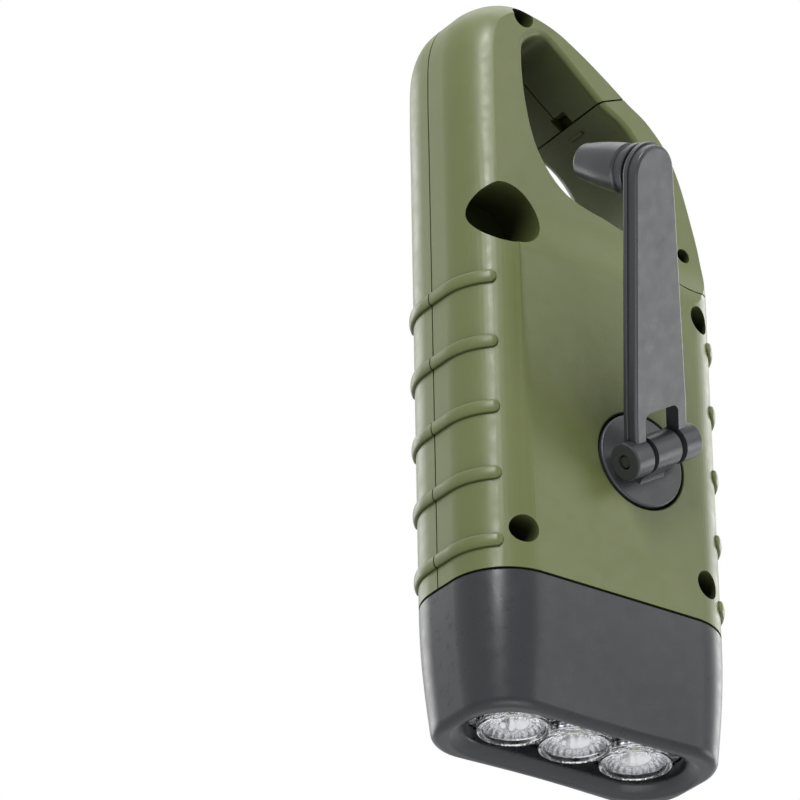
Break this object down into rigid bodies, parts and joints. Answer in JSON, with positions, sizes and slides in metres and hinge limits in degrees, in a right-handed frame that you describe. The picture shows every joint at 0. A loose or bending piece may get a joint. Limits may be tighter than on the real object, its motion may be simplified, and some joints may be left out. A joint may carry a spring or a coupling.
{
  "type": "hand crank flashlight",
  "caption": "Hand crank flashlight with a lamp head, a solar panel, a folding crank with a turning knob, and a carabiner loop with a sprung gate.",
  "frame": {"origin": "on the surface the torch stands on, lamps down, below the middle of the whole part with its crank lifted", "axes": "+Z from the lamps to the carabiner loop, -Y out of the solar panel, +Y out of the crank side, +X towards the closed arm of the loop"},
  "size_m": [0.0558, 0.0644, 0.1399],
  "materials": {
    "housing_green": "satin moulded",
    "head_grey": "satin moulded",
    "crank_grey": "satin moulded",
    "black_plastic": "matt moulded",
    "solar_cell": "clear cast over a copper brown cell",
    "clear_lens": "polished clear",
    "lamp_white": "clear cast lamp",
    "board_green": "circuit board",
    "steel": "bright turned",
    "gear_nylon": "moulded nylon",
    "coil_copper": "enamelled copper wire"
  },
  "bodies": {
    "housing": {"front_shell": "housing_green", "rear_shell": "housing_green", "gate_pin": "steel", "gate_spring": "steel", "housing_screw_1": "steel", "housing_screw_2": "steel", "housing_screw_3": "steel", "housing_screw_4": "steel", "solar_frame": "head_grey", "solar_panel": "solar_cell", "switch_body": "black_plastic", "head_bezel": "head_grey", "lens_block": "clear_lens", "led_1": "lamp_white", "led_2": "lamp_white", "led_3": "lamp_white", "led_board": "board_green", "gear_1_axle": "steel", "gear_2_axle": "steel", "stator_coil": "coil_copper", "stator_case": "steel", "gear_plate": "steel", "battery_cell_1": "steel", "battery_cell_2": "steel", "battery_cell_3": "steel", "main_board": "board_green"},
    "crank": {"crank_hub": "crank_grey", "arm_pin": "steel", "hub_screw": "steel", "crank_gear": "gear_nylon"},
    "arm": {"crank_arm": "crank_grey", "knob_axle": "steel"},
    "knob": {"knob": "crank_grey"},
    "gate": {"gate": "housing_green"},
    "button": {"switch_button": "black_plastic"},
    "gear_one": {"gear_1": "gear_nylon"},
    "gear_two": {"gear_2": "gear_nylon"},
    "generator_rotor": {"rotor": "steel"}
  },
  "joints": [
    {"name": "crank_spin", "type": "hinge", "parent": "housing", "child": "crank", "pos_m": [-0.0054, -0.00329, 0.0514], "axis": [0, 1, 0], "continuous": true},
    {"name": "arm_fold", "type": "hinge", "parent": "crank", "child": "arm", "pos_m": [-0.0054, 0.00111, 0.0514], "axis": [0.8554, 0, -0.518], "range_deg": [-146, 34]},
    {"name": "knob_spin", "type": "hinge", "parent": "arm", "child": "knob", "pos_m": [0.01551, 0.02834, 0.08593], "axis": [-0.2897, 0.829, -0.4783], "continuous": true},
    {"name": "gate_swing", "type": "hinge", "parent": "housing", "child": "gate", "pos_m": [-0.0204, -0.01829, 0.0987], "axis": [0, 1, 0], "range_deg": [0, 24], "stiffness_Nm_per_rad": 0.02, "springref_deg": -20.05},
    {"name": "button_press", "type": "slide", "parent": "housing", "child": "button", "axis": [1, 0, 0], "range_m": [0, 0.0008], "stiffness_N_per_m": 300, "springref_m": -0.0015},
    {"name": "gear_1_spin", "type": "hinge", "parent": "housing", "child": "gear_one", "pos_m": [-0.00095, -0.01529, 0.06925], "axis": [0, 1, 0], "continuous": true},
    {"name": "gear_2_spin", "type": "hinge", "parent": "housing", "child": "gear_two", "pos_m": [0.01036, -0.01529, 0.06163], "axis": [0, 1, 0], "continuous": true},
    {"name": "rotor_spin", "type": "hinge", "parent": "housing", "child": "generator_rotor", "pos_m": [0.01226, -0.01529, 0.05087], "axis": [0, 1, 0], "continuous": true}
  ],
  "couplings": [
    {"joint": "gear_1_spin", "follows": "crank_spin", "ratio": -3.6},
    {"joint": "gear_2_spin", "follows": "crank_spin", "ratio": 12.24},
    {"joint": "rotor_spin", "follows": "crank_spin", "ratio": -39.168}
  ]
}
